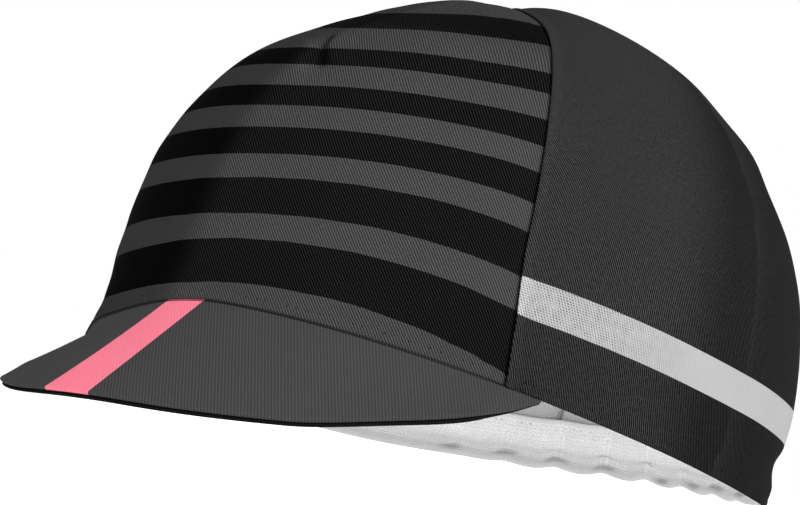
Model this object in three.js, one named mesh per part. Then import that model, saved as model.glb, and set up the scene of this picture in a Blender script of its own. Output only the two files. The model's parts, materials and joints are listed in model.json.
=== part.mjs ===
// A soft cotton cycling cap: four crown panels, a short two-layer peak and a white sweatband.
// Millimetres, +Z up. The cap faces -Y, so the wearer's left is +X.
// It is shaped in the frame of its own rim, then tipped to lie as it rests on a table.
import * as THREE from "three";

// Rim: the outside of the crown's lower edge, seen from above
const RIM_HALF_WIDTH = 81;
const RIM_FRONT_REACH = 103;
const RIM_BACK_REACH = 93;
const RIM_FRONT_ROUNDNESS = 2.18;
const RIM_BACK_ROUNDNESS = 1.95;
const RIM_FRONT_RISE = 2.7;
const RIM_BACK_RISE = 11.5;
const RIM_FLAT_SHARE = 0.2;

// Crown: its height over the rim, and how far ahead of the rim's middle its top point lies
const CROWN_HEIGHT = 110.3;
const TOP_FORWARD = 15;

// Cloth
const CLOTH_WALL = 1.2;
const PIECE_GAP = 0.3;

// Seams. The front panel ends in a rounded point ahead of the top, and the back panel runs up to it.
// The front seam starts to turn in at a height, and its roundness shapes that turn.
const BACK_SEAM_ANGLE = 23;
const FRONT_TIP_AHEAD = 12;
const SEAM_TURN_HEIGHT = 83;
const SEAM_TURN_ROUNDNESS = 2.4;
const SEAM_SINK = 1.3;
const SEAM_SOFTNESS = 4.5;
const PANEL_TIP_WIDTH = 1.6;
const SEAM_POINTS = 90;

// Hem wave: the rim dips at the wearer's right of the peak
const WAVE_ANGLE = -24;
const WAVE_SPREAD = 30;
const WAVE_DROP = 5;
const WAVE_HEIGHT = 24;

// Pinch: the small crease high on the front panel, which leans towards the wearer's right
const PINCH_BOTTOM = 60;
const PINCH_TOP = 84;
const PINCH_ANGLE = -2;
const PINCH_LEAN = 6;
const PINCH_HALF_ANGLE = 2.8;
const PINCH_DEPTH = 1.8;

// Elastic at the back, which gathers the cloth into ruffles and draws in a shallow waist
const GATHERS = 6;
const ELASTIC_HALF_ANGLE = 32;
const ELASTIC_FADE_ANGLE = 12;
const GATHER_DEPTH = 1.5;
const GATHER_SCALLOP = 1;
const GATHER_HEIGHT = 34;
const WAIST_HEIGHT = 11;
const WAIST_SPREAD = 6;
const WAIST_DEPTH = 1.9;

// Sweatband
const SWEATBAND_HEIGHT = 15;
const SWEATBAND_WALL = 1;
const SWEATBAND_BELOW_HEM = 0.4;

// Peak
const PEAK_ROOT_ANGLE = 59;
const PEAK_REACH = 24.2;
const PEAK_DROP = 29.2;
const PEAK_FAN = 0.72;
const PEAK_EDGE_WAVE_SHARE = 0.25;
const PEAK_TOP_WALL = 1;
const PEAK_UNDER_WALL = 1;
const PEAK_END_SHARE = 0.985;

// Crown sections, from the rim up to the top point.
// rise is a share of the crown's height, and front, side and back are shares of the rim's reach.
// seam is the front seam's angle round the rim, before it turns in towards its tip.
const CROWN_SECTIONS = [
  { rise: 0, front: 1, side: 1, back: 1, seam: 53 },
  { rise: 0.11, front: 0.99, side: 1.008, back: 0.997, seam: 52 },
  { rise: 0.24, front: 0.97, side: 1.015, back: 0.98, seam: 51 },
  { rise: 0.38, front: 0.945, side: 1, back: 0.94, seam: 50.5 },
  { rise: 0.53, front: 0.885, side: 0.96, back: 0.865, seam: 50 },
  { rise: 0.68, front: 0.76, side: 0.87, back: 0.742, seam: 49.5 },
  { rise: 0.81, front: 0.55, side: 0.738, back: 0.595, seam: 49 },
  { rise: 0.91, front: 0.36, side: 0.58, back: 0.425, seam: 49 },
  { rise: 0.975, front: 0.185, side: 0.35, back: 0.23, seam: 49 },
  { rise: 1, front: 0, side: 0, back: 0, seam: 49 },
];

// Peak outline, from the middle to the end of its root.
// across is a share of the root's half angle, and reach and drop are shares of the peak's own.
const PEAK_OUTLINE = [
  { across: 0, reach: 1, drop: 1 },
  { across: 0.25, reach: 0.87, drop: 0.95 },
  { across: 0.5, reach: 0.72, drop: 0.8 },
  { across: 0.72, reach: 0.58, drop: 0.58 },
  { across: 0.88, reach: 0.445, drop: 0.31 },
  { across: 1, reach: 0, drop: 0 },
];

// How finely each piece is faceted
const BAND_ROWS = 3;
const ROWS_TO_FRONT_TIP = 15;
const ROWS_TO_TOP = 3;
const FRONT_COLUMNS = 24;
const SIDE_COLUMNS = 24;
const BACK_COLUMNS = 20;
const PEAK_COLUMNS = 26;
const PEAK_ROWS = 6;
const FRONT_CROWDING = 0.7;
const SIDE_CROWDING = 0.6;

const DEGREE = Math.PI / 180;
const TINY_ANGLE = 0.05;
const TINY_SHARE = 0.0005;
const FINEST_SHARE = 0.000005;
const BACK_ANGLE = 180;
const FULL_TURN = 360;
const GATHER_ANGLE = (2 * ELASTIC_HALF_ANGLE) / GATHERS;

const UP = new THREE.Vector3(0, 0, 1);

function clamp01(value) {
  return Math.min(1, Math.max(0, value));
}

// 1 at and below the start, 0 at and past the end, smooth between
function fadeOut(value, start, end) {
  const t = clamp01((value - start) / (end - start));
  return 1 - t * t * (3 - 2 * t);
}

function signedPower(value, power) {
  return Math.sign(value) * Math.abs(value) ** power;
}

// Angles run from -180 to 180, 0 at the front and positive towards the wearer's left
function wrapped(angle) {
  return angle - FULL_TURN * Math.round(angle / FULL_TURN);
}

// A smooth bump, 1 in its middle and 0 at its spread
function bump(distance, spread) {
  const t = clamp01(Math.abs(distance) / spread);
  return (1 - t * t) ** 2;
}

// The plain rim, level at its sides and arched up in front and behind
function rimPoint(angle) {
  const s = Math.sin(angle * DEGREE);
  const c = Math.cos(angle * DEGREE);
  const inFront = c > 0;
  const power = 2 / (inFront ? RIM_FRONT_ROUNDNESS : RIM_BACK_ROUNDNESS);
  const reach = inFront ? RIM_FRONT_REACH : RIM_BACK_REACH;
  const rise = inFront ? RIM_FRONT_RISE : RIM_BACK_RISE;
  const arch = clamp01((Math.abs(c) - RIM_FLAT_SHARE) / (1 - RIM_FLAT_SHARE)) ** 2;
  return new THREE.Vector3(
    RIM_HALF_WIDTH * signedPower(s, power),
    -reach * signedPower(c, power),
    rise * arch,
  );
}

const reachCurve = new THREE.CatmullRomCurve3(
  CROWN_SECTIONS.map((row) => new THREE.Vector3(row.front, row.side, row.back)),
  false,
  "catmullrom",
);
const riseCurve = new THREE.CatmullRomCurve3(
  CROWN_SECTIONS.map((row) => new THREE.Vector3(row.rise, row.seam, 0)),
  false,
  "catmullrom",
);

// How far up the crown sections a height over the rim lies, from 0 at the rim to 1 at the top
function shareAtHeight(height) {
  let low = 0;
  let high = 1;
  while (high - low > FINEST_SHARE) {
    const middle = (low + high) / 2;
    if (riseCurve.getPoint(middle).x * CROWN_HEIGHT < height) low = middle;
    else high = middle;
  }
  return (low + high) / 2;
}

function hemWave(angle) {
  return WAVE_DROP * bump(wrapped(angle - WAVE_ANGLE), WAVE_SPREAD);
}

const waveTop = shareAtHeight(WAVE_HEIGHT);
const gatherTop = shareAtHeight(GATHER_HEIGHT);
const bandTop = shareAtHeight(SWEATBAND_HEIGHT);

// The crown's smooth form, before seams, gathers and creases
function smoothCrown(angle, share) {
  const c = Math.cos(angle * DEGREE);
  const frontShare = Math.max(c, 0) ** 2;
  const backShare = Math.max(-c, 0) ** 2;
  const sideShare = 1 - frontShare - backShare;
  const reaches = reachCurve.getPoint(share);
  const rise = riseCurve.getPoint(share).x;
  const reach = frontShare * reaches.x + sideShare * reaches.y + backShare * reaches.z;
  const rim = rimPoint(angle);
  const wave = hemWave(angle) * fadeOut(share, 0, waveTop);
  return new THREE.Vector3(
    rim.x * reach,
    -TOP_FORWARD + (rim.y + TOP_FORWARD) * reach,
    rim.z * (1 - rise) + CROWN_HEIGHT * rise - wave,
  );
}

// Outward normal of a surface given as a function of angle and share
function normalOf(surface, angle, share) {
  const low = Math.max(share - TINY_SHARE, 0);
  const along = surface(angle + TINY_ANGLE, share).sub(surface(angle - TINY_ANGLE, share));
  const upward = surface(angle, share + TINY_SHARE).sub(surface(angle, low));
  return along.cross(upward).normalize();
}

// The share of the way up at which a line of the crown comes within a distance of the top point
function shareNearTop(angle, distance) {
  let low = 0.5;
  let high = 1;
  while (high - low > FINEST_SHARE) {
    const middle = (low + high) / 2;
    const point = smoothCrown(angle, middle);
    if (Math.hypot(point.x, point.y + TOP_FORWARD) > distance) low = middle;
    else high = middle;
  }
  return low;
}

const frontTipShare = shareNearTop(0, FRONT_TIP_AHEAD);
const seamTurnShare = shareAtHeight(SEAM_TURN_HEIGHT);

// The front seam's angle. Past the front panel's tip it is the middle seam between the side panels.
function frontSeamAngle(share) {
  const turned = clamp01((share - seamTurnShare) / (frontTipShare - seamTurnShare));
  return riseCurve.getPoint(share).y * Math.sqrt(1 - turned ** SEAM_TURN_ROUNDNESS);
}

function backSeam() {
  return BACK_ANGLE - BACK_SEAM_ANGLE;
}

// Points along the seams of the left half, which the right half mirrors
const seamPoints = [frontSeamAngle, backSeam].flatMap((seam) =>
  Array.from({ length: SEAM_POINTS + 1 }, (_, i) => {
    const share = Math.sin((Math.PI * i) / (2 * SEAM_POINTS));
    return smoothCrown(seam(share), share);
  }),
);

// How deep the nearest seam draws the cloth in above the sweatband
function seamSink(point, share) {
  const onLeft = new THREE.Vector3(Math.abs(point.x), point.y, point.z);
  const away = Math.min(...seamPoints.map((seam) => seam.distanceTo(onLeft)));
  return SEAM_SINK * Math.exp(-away / SEAM_SOFTNESS) * (1 - fadeOut(share, bandTop, 2 * bandTop));
}

// Each ruffle is a round lobe between two creases
function gatherLobe(angle) {
  return Math.abs(Math.sin((Math.PI * wrapped(angle - BACK_ANGLE)) / GATHER_ANGLE)) - 0.5;
}

function elasticShare(angle) {
  const fromBack = Math.abs(wrapped(angle - BACK_ANGLE));
  return fadeOut(fromBack, ELASTIC_HALF_ANGLE - ELASTIC_FADE_ANGLE, ELASTIC_HALF_ANGLE + ELASTIC_FADE_ANGLE);
}

// The pinch, 1 at its deepest
function pinchAt(angle, height) {
  const length = PINCH_TOP - PINCH_BOTTOM;
  const fromMiddle = height - (PINCH_BOTTOM + PINCH_TOP) / 2;
  const creaseAngle = PINCH_ANGLE - (PINCH_LEAN * fromMiddle) / length;
  return bump(fromMiddle, length / 2) * bump(wrapped(angle) - creaseAngle, PINCH_HALF_ANGLE);
}

// The crown's outer surface
function crownSurface(angle, share) {
  const point = smoothCrown(angle, share);
  const normal = normalOf(smoothCrown, angle, share);
  const height = riseCurve.getPoint(share).x * CROWN_HEIGHT;
  const elastic = elasticShare(angle);
  const gather = elastic * gatherLobe(angle) * fadeOut(share, 0, gatherTop);
  const waist = elastic * bump(height - WAIST_HEIGHT, WAIST_SPREAD);
  const pinch = pinchAt(angle, height);
  const inward = seamSink(point, share) + WAIST_DEPTH * waist - GATHER_DEPTH * gather + PINCH_DEPTH * pinch;
  point.addScaledVector(normal, -inward);
  point.z -= GATHER_SCALLOP * elastic * gatherLobe(angle) * fadeOut(height, 0, SWEATBAND_HEIGHT);
  return point;
}

// A point of the crown under its outer surface by a depth, measured square to the cloth
function crownPoint(angle, share, depth) {
  const normal = normalOf(crownSurface, angle, share);
  return crownSurface(angle, share).addScaledVector(normal, -depth);
}

// A closed sheet of cloth. pointAt(column, row, side) gives its points, side 0 outside and 1 inside.
// A ring joins its last column to its first.
function clothSheet(columns, rows, pointAt, ring = false) {
  const across = ring ? columns : columns + 1;
  const positions = [];
  for (const side of [0, 1]) {
    for (let row = 0; row <= rows; row++) {
      for (let column = 0; column < across; column++) {
        positions.push(...pointAt(column / columns, row / rows, side).toArray());
      }
    }
  }
  const at = (column, row, side) => (side * (rows + 1) + row) * across + (column % across);
  const triangles = [];
  const quad = (a, b, c, d) => triangles.push(a, b, c, a, c, d);
  for (let column = 0; column < columns; column++) {
    const next = column + 1;
    for (let row = 0; row < rows; row++) {
      quad(at(column, row, 0), at(next, row, 0), at(next, row + 1, 0), at(column, row + 1, 0));
      quad(at(column, row, 1), at(column, row + 1, 1), at(next, row + 1, 1), at(next, row, 1));
    }
    quad(at(column, 0, 0), at(column, 0, 1), at(next, 0, 1), at(next, 0, 0));
    quad(at(column, rows, 0), at(next, rows, 0), at(next, rows, 1), at(column, rows, 1));
  }
  for (let row = 0; row < rows && !ring; row++) {
    quad(at(0, row, 0), at(0, row + 1, 0), at(0, row + 1, 1), at(0, row, 1));
    quad(at(columns, row, 0), at(columns, row, 1), at(columns, row + 1, 1), at(columns, row + 1, 0));
  }
  const geometry = new THREE.BufferGeometry();
  geometry.setAttribute("position", new THREE.Float32BufferAttribute(positions, 3));
  geometry.setIndex(triangles);
  geometry.computeVertexNormals();
  return geometry;
}

// Columns lie closer together at both edges of a panel
function closerAtEdges(t, amount) {
  return t - (amount * Math.sin(2 * Math.PI * t)) / (2 * Math.PI);
}

// The angle that half of the gap at a seam takes up, at a share of the way up.
// It is wider where the seam runs more along the cloth's rows than across them.
function halfGapAngle(seam, share) {
  const angle = seam(share);
  const around = smoothCrown(angle + TINY_ANGLE, share).sub(smoothCrown(angle - TINY_ANGLE, share));
  const above = share + TINY_SHARE;
  const along = smoothCrown(seam(above), above).sub(smoothCrown(angle, share)).normalize();
  const across = new THREE.Vector3().crossVectors(around, along).length();
  return (PIECE_GAP * TINY_ANGLE) / across;
}

// Rows of facets, close together at the foot, at the front panel's tip and at the top
const rowShares = [
  ...Array.from({ length: BAND_ROWS }, (_, i) => (i / BAND_ROWS) * bandTop),
  ...Array.from({ length: ROWS_TO_FRONT_TIP }, (_, i) => {
    const eased = Math.sin((Math.PI * i) / (2 * ROWS_TO_FRONT_TIP));
    return bandTop + eased * (frontTipShare - bandTop);
  }),
  ...Array.from({ length: ROWS_TO_TOP + 1 }, (_, i) => frontTipShare + (i / ROWS_TO_TOP) * (1 - frontTipShare)),
];

// The rows of a panel that runs up to the crown's top between two seams.
// It ends short of the top, where it is still wide enough to hold a seam's gap on either side.
function rowsToTop(from, to) {
  const wideEnough = (share) => {
    const width = smoothCrown(from(share), share).distanceTo(smoothCrown(to(share), share));
    return width > PANEL_TIP_WIDTH;
  };
  let top = 1;
  while (!wideEnough(top)) top -= TINY_SHARE;
  return [...rowShares.filter((share) => share < top), top];
}

// A crown panel between two seams, whose angles are functions of the share of the way up
function crownPanel({ columns, from, to, rows, spread }) {
  return clothSheet(columns, rows.length - 1, (u, v, side) => {
    const share = rows[Math.round(v * (rows.length - 1))];
    const start = from(share) + halfGapAngle(from, share);
    const end = to(share) - halfGapAngle(to, share);
    return crownPoint(start + (end - start) * spread(u), share, side * CLOTH_WALL);
  });
}

// The right side mirrors the left
function mirrored(seam) {
  return (share) => FULL_TURN - seam(share);
}

// The front panel's columns are closer at the seams and at the pinch in its middle
function frontSpread(u) {
  const half = Math.min(2 * u, 2 - 2 * u);
  const t = closerAtEdges(half, FRONT_CROWDING) / 2;
  return u < 0.5 ? t : 1 - t;
}

function sideSpread(u) {
  return closerAtEdges(u, SIDE_CROWDING);
}

// The panels in order round the rim, from the front seam on the wearer's right
const panels = {
  front_panel: {
    columns: FRONT_COLUMNS,
    from: (share) => -frontSeamAngle(share),
    to: frontSeamAngle,
    rows: rowShares.filter((share) => share < frontTipShare),
    spread: frontSpread,
  },
  left_panel: {
    columns: SIDE_COLUMNS,
    from: frontSeamAngle,
    to: backSeam,
    rows: rowsToTop(frontSeamAngle, backSeam),
    spread: sideSpread,
  },
  back_panel: {
    columns: BACK_COLUMNS,
    from: backSeam,
    to: mirrored(backSeam),
    rows: rowsToTop(backSeam, mirrored(backSeam)),
    spread: (u) => u,
  },
  right_panel: {
    columns: SIDE_COLUMNS,
    from: mirrored(backSeam),
    to: mirrored(frontSeamAngle),
    rows: rowsToTop(frontSeamAngle, backSeam),
    spread: sideSpread,
  },
};

// The sweatband lines the foot of the panels, facet for facet, and hangs a little below their hem.
// Its lower edge is cut level, so it is flat where the rim is level at the cap's sides.
function sweatband() {
  const angles = Object.values(panels).flatMap(({ columns, from, to, spread }) =>
    Array.from({ length: columns }, (_, i) => from(0) + (to(0) - from(0)) * spread(i / columns)),
  );
  const outer = CLOTH_WALL + PIECE_GAP;
  const rows = BAND_ROWS + 1;
  const pointAt = (u, v, side) => {
    const angle = angles[Math.round(u * angles.length) % angles.length];
    const above = Math.max(v * rows - 1, 0) / BAND_ROWS;
    const point = crownPoint(angle, above * bandTop, outer + side * SWEATBAND_WALL);
    if (v === 0) point.z = crownSurface(angle, 0).z - SWEATBAND_BELOW_HEM;
    return point;
  };
  return clothSheet(angles.length, rows, pointAt, true);
}

const peakCurve = new THREE.CatmullRomCurve3(
  [...PEAK_OUTLINE.slice(1).reverse().map((row) => ({ ...row, across: -row.across })), ...PEAK_OUTLINE].map(
    (row) => new THREE.Vector3(row.across, row.reach, row.drop),
  ),
  false,
  "catmullrom",
);

// The peak's reach and drop shares at a place across it, from -1 to 1
function peakOutlineAt(across) {
  let low = 0;
  let high = 1;
  while (high - low > FINEST_SHARE) {
    const middle = (low + high) / 2;
    if (peakCurve.getPoint(middle).x < across) low = middle;
    else high = middle;
  }
  return peakCurve.getPoint((low + high) / 2);
}

// The peak's upper surface: out 0 lies at its root under the hem, and out 1 on its edge
function peakSurface(across, out) {
  const angle = across * PEAK_ROOT_ANGLE;
  const root = smoothCrown(angle, 0).addScaledVector(UP, -PIECE_GAP);
  const share = peakOutlineAt(across);
  const heading = angle * PEAK_FAN * DEGREE;
  const reach = PEAK_REACH * share.y * out;
  const straightened = hemWave(angle) * (1 - PEAK_EDGE_WAVE_SHARE) * out;
  return new THREE.Vector3(
    root.x + reach * Math.sin(heading),
    root.y - reach * Math.cos(heading),
    root.z - PEAK_DROP * share.z * out + straightened,
  );
}

function peakNormal(across, out) {
  const along = peakSurface(across + TINY_SHARE, out).sub(peakSurface(across - TINY_SHARE, out));
  const outward = peakSurface(across, out + TINY_SHARE).sub(peakSurface(across, out - TINY_SHARE));
  return outward.cross(along).normalize();
}

// One layer of the peak between two depths under its upper surface
function peakLayer(upper, lower) {
  return clothSheet(PEAK_COLUMNS, PEAK_ROWS, (u, v, side) => {
    const across = PEAK_END_SHARE * (2 * u - 1);
    const out = 1 - v;
    const depth = side === 0 ? upper : lower;
    return peakSurface(across, out).addScaledVector(peakNormal(across, out), -depth);
  });
}

function peakTop() {
  return peakLayer(0, PEAK_TOP_WALL);
}

function peakUnderside() {
  const upper = PEAK_TOP_WALL + PIECE_GAP;
  return peakLayer(upper, upper + PEAK_UNDER_WALL);
}

function piece(name, geometry, color, roughness) {
  const material = new THREE.MeshStandardMaterial({ color, roughness, metalness: 0 });
  const mesh = new THREE.Mesh(geometry, material);
  mesh.name = name;
  return mesh;
}

const peakPieces = [
  piece("peak_top", peakTop(), 0x484848, 0.85),
  piece("peak_underside", peakUnderside(), 0x2c2c2c, 0.85),
];
const crownPieces = [
  ...Object.entries(panels).map(([name, panel]) => piece(name, crownPanel(panel), 0x363636, 0.85)),
  piece("sweatband", sweatband(), 0xd8d8d8, 0.9),
];

// The lowest corner of some pieces once they are tipped back by an angle in radians
function lowest(pieces, tip) {
  const turn = new THREE.Matrix4().makeRotationX(-tip);
  const corner = new THREE.Vector3();
  let low = Infinity;
  for (const mesh of pieces) {
    const places = mesh.geometry.getAttribute("position");
    for (let i = 0; i < places.count; i++) {
      low = Math.min(low, corner.fromBufferAttribute(places, i).applyMatrix4(turn).z);
    }
  }
  return low;
}

// The cap rests on the peak's edge in front and on its rim behind
function restingTip() {
  let low = 0;
  let high = Math.PI / 6;
  while (high - low > FINEST_SHARE) {
    const middle = (low + high) / 2;
    if (lowest(peakPieces, middle) < lowest(crownPieces, middle)) low = middle;
    else high = middle;
  }
  return low;
}

const cap = new THREE.Group();
cap.add(...crownPieces, ...peakPieces);
cap.rotation.x = -restingTip();
cap.updateMatrixWorld(true);
const box = new THREE.Box3().setFromObject(cap, true);
const middle = box.getCenter(new THREE.Vector3());
cap.position.set(-middle.x, -middle.y, -box.min.z);

const part = new THREE.Group();
part.add(cap);

export default part;
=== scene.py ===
"""A soft cotton cycling cap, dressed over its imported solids.

The cap is shaped in the frame of its own rim, in millimetres, with the same sizes as its solids.
Each piece is then tipped to lie as the cap rests, and turned into metres.
"""

import json
import math

import bpy
import numpy as np
from mathutils import Matrix, Vector


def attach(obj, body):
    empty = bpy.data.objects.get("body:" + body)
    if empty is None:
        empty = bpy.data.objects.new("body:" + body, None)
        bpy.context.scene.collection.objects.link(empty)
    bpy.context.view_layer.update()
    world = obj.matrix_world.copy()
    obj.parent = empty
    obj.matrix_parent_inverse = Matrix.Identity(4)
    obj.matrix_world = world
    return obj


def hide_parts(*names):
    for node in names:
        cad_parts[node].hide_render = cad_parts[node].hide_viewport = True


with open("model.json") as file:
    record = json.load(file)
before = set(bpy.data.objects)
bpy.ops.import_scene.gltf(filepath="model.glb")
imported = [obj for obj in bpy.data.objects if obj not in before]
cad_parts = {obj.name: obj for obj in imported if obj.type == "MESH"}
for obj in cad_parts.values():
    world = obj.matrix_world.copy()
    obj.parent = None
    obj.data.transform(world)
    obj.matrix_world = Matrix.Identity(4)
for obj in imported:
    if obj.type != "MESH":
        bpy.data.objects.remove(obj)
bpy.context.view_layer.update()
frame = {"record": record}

# Sizes shared with the solids, in millimetres and degrees

# Rim
RIM_HALF_WIDTH = 81
RIM_FRONT_REACH = 103
RIM_BACK_REACH = 93
RIM_FRONT_ROUNDNESS = 2.18
RIM_BACK_ROUNDNESS = 1.95
RIM_FRONT_RISE = 2.7
RIM_BACK_RISE = 11.5
RIM_FLAT_SHARE = 0.2

# Crown
CROWN_HEIGHT = 110.3
TOP_FORWARD = 15
CLOTH_WALL = 1.2
SEAM_WALL = 0.5
SEAM_LAP = 1.0
# Half of the wall that is left at a rounded edge
EDGE_HALF_WALL = 0.04

# Seams
BACK_SEAM_ANGLE = 23
FRONT_TIP_AHEAD = 12
SEAM_TURN_HEIGHT = 83
SEAM_TURN_ROUNDNESS = 2.4
SEAM_SINK = 1.3
SEAM_SOFTNESS = 4.5

# Hem wave, pinch and elastic
WAVE_ANGLE = -24
WAVE_SPREAD = 30
WAVE_DROP = 5
WAVE_HEIGHT = 24
FAR_DROP = 7
FAR_DROP_ANGLE = -48
FAR_DROP_SPREAD = 27
BACK_LIFT = 0.8
BACK_LIFT_FROM = 90
BACK_LIFT_TO = 118
PINCH_ANGLE = -0.7
PINCH_LEAN = 13
PINCH_BOTTOM = 61
PINCH_TOP = 85
PINCH_DEPTH = 0.6
PINCH_HALF_ANGLE = 1.8
PINCH_BULGE = 0.3
PINCH_BULGE_ANGLE = -4.2
PINCH_BULGE_SPREAD = 2.8
GATHERS = 6
ELASTIC_HALF_ANGLE = 32
ELASTIC_FADE_ANGLE = 12
GATHER_DEPTH = 1.5
GATHER_SCALLOP = 1
GATHER_HEIGHT = 34
WAIST_HEIGHT = 11
WAIST_SPREAD = 6
WAIST_DEPTH = 1.9

# Foot of the crown at the wearer's right: it flares over the peak, under a hollow
FLARE_ANGLE = -46
FLARE_SPREAD = 24
FLARE_PROFILE = [
    # height, height_spread, out
    (0.5, 3, 0.9),
    (9, 6, -2.6),
    (5.6, 1.4, -0.9),
]

# Sweatband
SWEATBAND_HEIGHT = 15
SWEATBAND_WALL = 1
SWEATBAND_BELOW_HEM = 0.4
PIECE_GAP = 0.3
SWEATBAND_TUCK = 1.0
TUCK_ANGLE = 70
TUCK_SPREAD = 88
BAND_HANG = 0.5
BAND_PROFILE = [
    # height, height_spread, inward
    (2.6, 0.5, -0.35),
    (13.9, 0.9, 0.25),
    (12.5, 0.35, -0.15),
]

# Peak
PEAK_ROOT_ANGLE = 59
PEAK_REACH = 24.2
PEAK_DROP = 29.2
PEAK_FAN = 0.72
PEAK_EDGE_WAVE_SHARE = 0.25
PEAK_TOP_WALL = 1
PEAK_UNDER_WALL = 1
PEAK_END_SHARE = 0.996
PEAK_ROOT_GAP = 0.15
PEAK_LEFT_LIFT = 0.115
PEAK_RIGHT_HOLLOW = 4
PEAK_TIP_REACH = 0.6
PEAK_TIP_DROP = 0.3
# Where these lie across the peak, and how far each spreads, as shares of its half width
LEFT_LIFT_PLACE = (0.82, 0.35)
RIGHT_HOLLOW_PLACE = (-0.55, 0.5)
TIP_REACH_PLACE = (-0.38, 0.4)
TIP_DROP_PLACE = (-0.3, 0.45)
THIN_TIP_PLACE = (-0.3, 0.5)
# The printed stripe's two edges, from the peak's middle line
PINK_LEFT = -5.6
PINK_LEFT_WIDENS = 4.2
PINK_RIGHT = 6

# Crown sections from the rim up: rise is a share of the height; front, side and back are shares
# of the rim's reach; seam is the front seam's angle.
CROWN_SECTIONS = np.array(
    [
        # rise, front, side, back, seam
        (0, 1, 1, 1, 53),
        (0.11, 0.99, 1.008, 0.997, 52),
        (0.24, 0.97, 1.015, 0.98, 51),
        (0.38, 0.945, 1, 0.94, 50.5),
        (0.53, 0.885, 0.96, 0.865, 50),
        (0.68, 0.76, 0.87, 0.742, 49.5),
        (0.81, 0.55, 0.738, 0.595, 49),
        (0.91, 0.36, 0.58, 0.425, 49),
        (0.975, 0.185, 0.35, 0.23, 49),
        (1, 0, 0, 0, 49),
    ],
    float,
)

# Peak outline from its middle to the end of its root
PEAK_OUTLINE = np.array(
    [
        # across, reach, drop
        (0, 1, 1),
        (0.25, 0.87, 0.95),
        (0.5, 0.72, 0.8),
        (0.72, 0.58, 0.58),
        (0.88, 0.445, 0.31),
        (1, 0, 0),
    ],
    float,
)

# How the cap lies: the tip is read from the rim mount, and the shift is where its rim's middle lies
RIM_AXIS = next(m["axis"] for m in frame["record"]["mounts"] if m["name"] == "rim")
TIP = math.atan2(-RIM_AXIS[1], -RIM_AXIS[2])
SHIFT = np.array((0, 17.199, 7.015))

# Sizes of the printed and sewn detail, in millimetres

# Printed stripes on the front panel: heights over the rim of each dark stripe's lower and upper
# edge, in the middle of the panel and at its seams
DARK_STRIPES = [
    # bottom_middle, top_middle, bottom_seam, top_seam
    (6.6, 17.5, 3, 17.6),
    (23.6, 33, 25.2, 35.8),
    (39.1, 46.5, 42.7, 50.4),
    (52.7, 58.9, 57, 64.2),
    (65.9, 71.9, 71.6, 78),
    (82.1, 92.8, 87.5, 94.5),
]
# How far the lower stripes sway up on the wearer's left, and the heights over which this fades
STRIPE_SWAY = 6.5
SWAY_FADES_FROM = 20
SWAY_FADES_TO = 80
# The lowest dark edge hardly sways on the wearer's right
LOWEST_SWAY_RIGHT = -1.6
BAND_BOTTOM = 16.8
BAND_TOP = 25.6
BAND_RISE = 0.8
BAND_CORNER = 0.5

TWILL_PITCH = 0.58
TWILL_LEAN = 40
SIDE_TWILL_PITCH = 0.6
SIDE_TWILL_LEAN = 28
SIDE_CONTRAST = 0.95
# The weave's relief, in metres
WEAVE_DEPTH = 0.0001
KNIT_DEPTH = 0.00035
RIB_PITCH = 0.71
KNIT_PITCH = 0.85
KNIT_WALE = 1.8

HEM_STITCH_HEIGHT = 2.3
STITCH_LENGTH = 0.55
STITCH_PITCH = 2.6
STITCH_RADIUS = 0.17
STITCH_SHOWN = 0.6
STITCH_SINK = 0.05
# Rings of one stitch: place along it, and width and lift as shares of its radius
STITCH_RINGS = [
    # along, width, lift
    (0, 0.25, -0.8),
    (0.15, 0.85, -0.2),
    (0.5, 1, 0.15),
    (0.85, 0.85, -0.2),
    (1, 0.25, -0.8),
]
STITCH_SIDES = 6
HEM_STITCH_DENT = 0.14
FOLD_PROUD = 0.55
PUCKER_HEIGHT = 14
TOP_CREASE_DEPTH = 0.35
TOP_CREASE_PROFILE = [
    # height, height_spread, out
    (103.5, 1.3, 1),
    (101, 1.5, -0.6),
]
# Painted shade on the front panel, where it turns from the light: angles towards the wearer's right, and
# heights
SHADE_ANGLES = (-2, 8)
SHADE_HEIGHTS = (78, 88)
# How the cloth settles: under the top, beside the seams near the top, and beside the elastic
SETTLE_DEPTH = 0.9
SETTLE_FROM = 44
SETTLE_TO = 84
SETTLE_TOP = 91
TOP_SINK = 1.2
TOP_SINK_SPREAD = 6.5
TOP_SINK_FROM = 93
TOP_SINK_TO = 106
DRAW_DEPTH = 0.7
DRAW_FROM_BACK = 52
DRAW_SPREAD = 30
DENT_DEPTH = 0.16
# Soft bends in the crown's cloth, at the wearer's left and then at the front
SOFT_BENDS = [
    # angle, angle_spread, height, height_spread, out
    (107, 26, 86, 4.5, 0.8),
    (107, 26, 96, 4.5, -0.45),
    (107, 26, 68, 6, 0.3),
    (-36, 18, 21, 4.5, -0.48),
    (-36, 18, 43, 5, 0.37),
    (-35, 18, 60, 7, -0.2),
    (-34, 16, 95.8, 3.2, -0.48),
    (-14, 14, 101.5, 3, 0.55),
]

# Steps of the meshes, in millimetres: from an edge inwards, down from the front panel's point, and
# up the sweatband
EDGE_STEPS = np.array([0, 0.08, 0.2, 0.4, 0.7, 1.1, 1.6, 2.3])
TIP_STEPS = np.array([0.25, 0.6, 1.1, 1.8, 2.7])
BAND_STEPS = np.r_[0, 0.25, 0.6, 1.0, 1.5, 2.0, 2.5, 3.0, 3.6, np.linspace(4.4, 11.8, 9)]
BAND_STEPS = np.r_[BAND_STEPS, 12.3, 12.7, 13.1, 13.6, 14.2, 14.7, 15.0]
BAND_STITCH_ROW = 19
BAND_COLUMNS = 900
PEAK_COLUMNS = 190
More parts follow.
